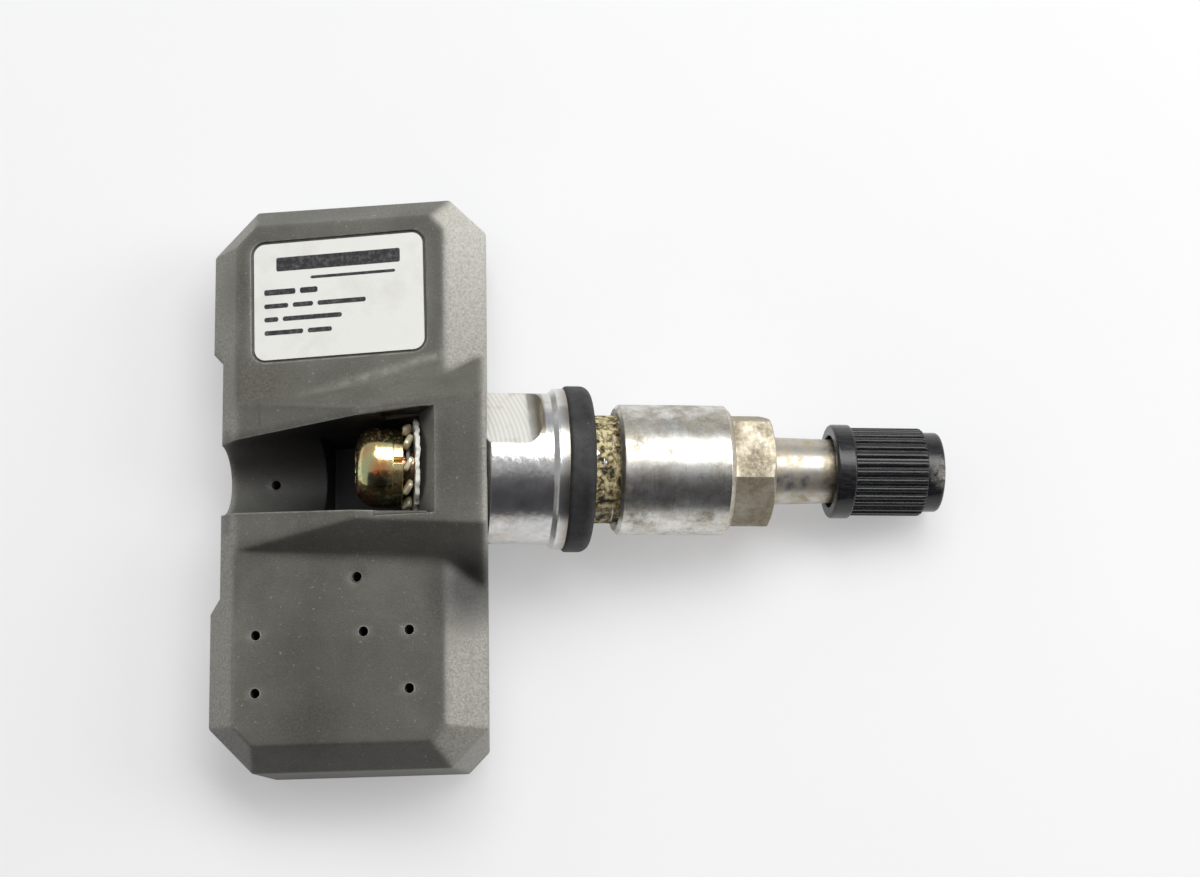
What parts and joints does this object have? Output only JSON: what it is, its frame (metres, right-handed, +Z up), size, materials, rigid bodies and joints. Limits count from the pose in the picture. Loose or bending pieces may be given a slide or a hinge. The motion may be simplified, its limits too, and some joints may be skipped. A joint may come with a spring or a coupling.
{
  "type": "tyre pressure sensor",
  "caption": "Wheel-mounted tyre pressure sensor: a bevelled octagonal housing with a screw channel, fixed at an angle to a clamp-in metal valve with rubber grommet, collar nut and ribbed cap",
  "frame": {"origin": "bottom centre of the bounding box as the sensor lies on a table, on the cover's far edge and the cap", "axes": "+X along the valve from the housing to the cap, +Y towards the label lobe, +Z up"},
  "size_m": [0.0772, 0.06, 0.0199],
  "materials": {
    "housing_case": "glass-filled nylon, dusty",
    "label": "plain",
    "back_cover": "plain",
    "circuit_board": "glass-epoxy with green mask",
    "coin_cell": "plain",
    "negative_tab": "plain",
    "positive_tab": "plain",
    "sensor_chip": "plain",
    "port_seal": "plain",
    "radio_chip": "plain",
    "crystal": "plain",
    "wake_core": "plain",
    "wake_coil": null,
    "antenna": "plain",
    "capacitors": "plain",
    "valve_stem": "bright turned",
    "grommet": "plain",
    "collar_nut": "bright turned",
    "valve_cap": "plain",
    "cap_seal": "plain",
    "fixing_screw": "yellow zinc",
    "spring_washer": "yellow zinc",
    "toothed_washer": "yellow zinc",
    "backing_washer": "white, ragged edge",
    "core_plug": "plain",
    "core_barrel": "plain",
    "core_gasket": "plain",
    "core_pin": "plain",
    "core_poppet": "plain",
    "core_spring": "plain"
  },
  "bodies": {
    "sensor_body": {"housing_case": "housing_case", "label": "label", "back_cover": "back_cover", "circuit_board": "circuit_board", "coin_cell": "coin_cell", "negative_tab": "negative_tab", "positive_tab": "positive_tab", "sensor_chip": "sensor_chip", "port_seal": "port_seal", "radio_chip": "radio_chip", "crystal": "crystal", "wake_core": "wake_core", "wake_coil": "wake_coil", "antenna": "antenna", "capacitors": "capacitors", "valve_stem": "valve_stem", "grommet": "grommet", "fixing_screw": "fixing_screw", "spring_washer": "spring_washer", "toothed_washer": "toothed_washer", "backing_washer": "backing_washer", "core_plug": "core_plug", "core_barrel": "core_barrel", "core_gasket": "core_gasket", "core_spring": "core_spring"},
    "collar_nut": {"collar_nut": "collar_nut"},
    "cap_seal": {"cap_seal": "cap_seal"},
    "valve_cap": {"valve_cap": "valve_cap"},
    "core_pin": {"core_pin": "core_pin", "core_poppet": "core_poppet"}
  },
  "joints": [
    {"name": "nut_travel", "type": "slide", "parent": "sensor_body", "child": "collar_nut", "axis": [0.9876, 0, -0.157], "range_m": [-0.0023, 0.0055]},
    {"name": "cap_lift", "type": "slide", "parent": "sensor_body", "child": "cap_seal", "axis": [0.9876, 0, -0.157], "range_m": [0, 0.00953]},
    {"name": "cap_turn", "type": "hinge", "parent": "cap_seal", "child": "valve_cap", "pos_m": [0.02639, 0.0009, 0.00614], "axis": [0.9876, 0, -0.157], "range_deg": [0, 4320]},
    {"name": "pin_press", "type": "slide", "parent": "sensor_body", "child": "core_pin", "axis": [-0.9876, 0, 0.157], "range_m": [0, 0.0015], "stiffness_N_per_m": 300, "springref_m": -0.001, "deforming": ["core_spring"]}
  ],
  "couplings": [
    {"joint": "cap_turn", "follows": "cap_lift", "rad_per_m": 7913.3}
  ]
}
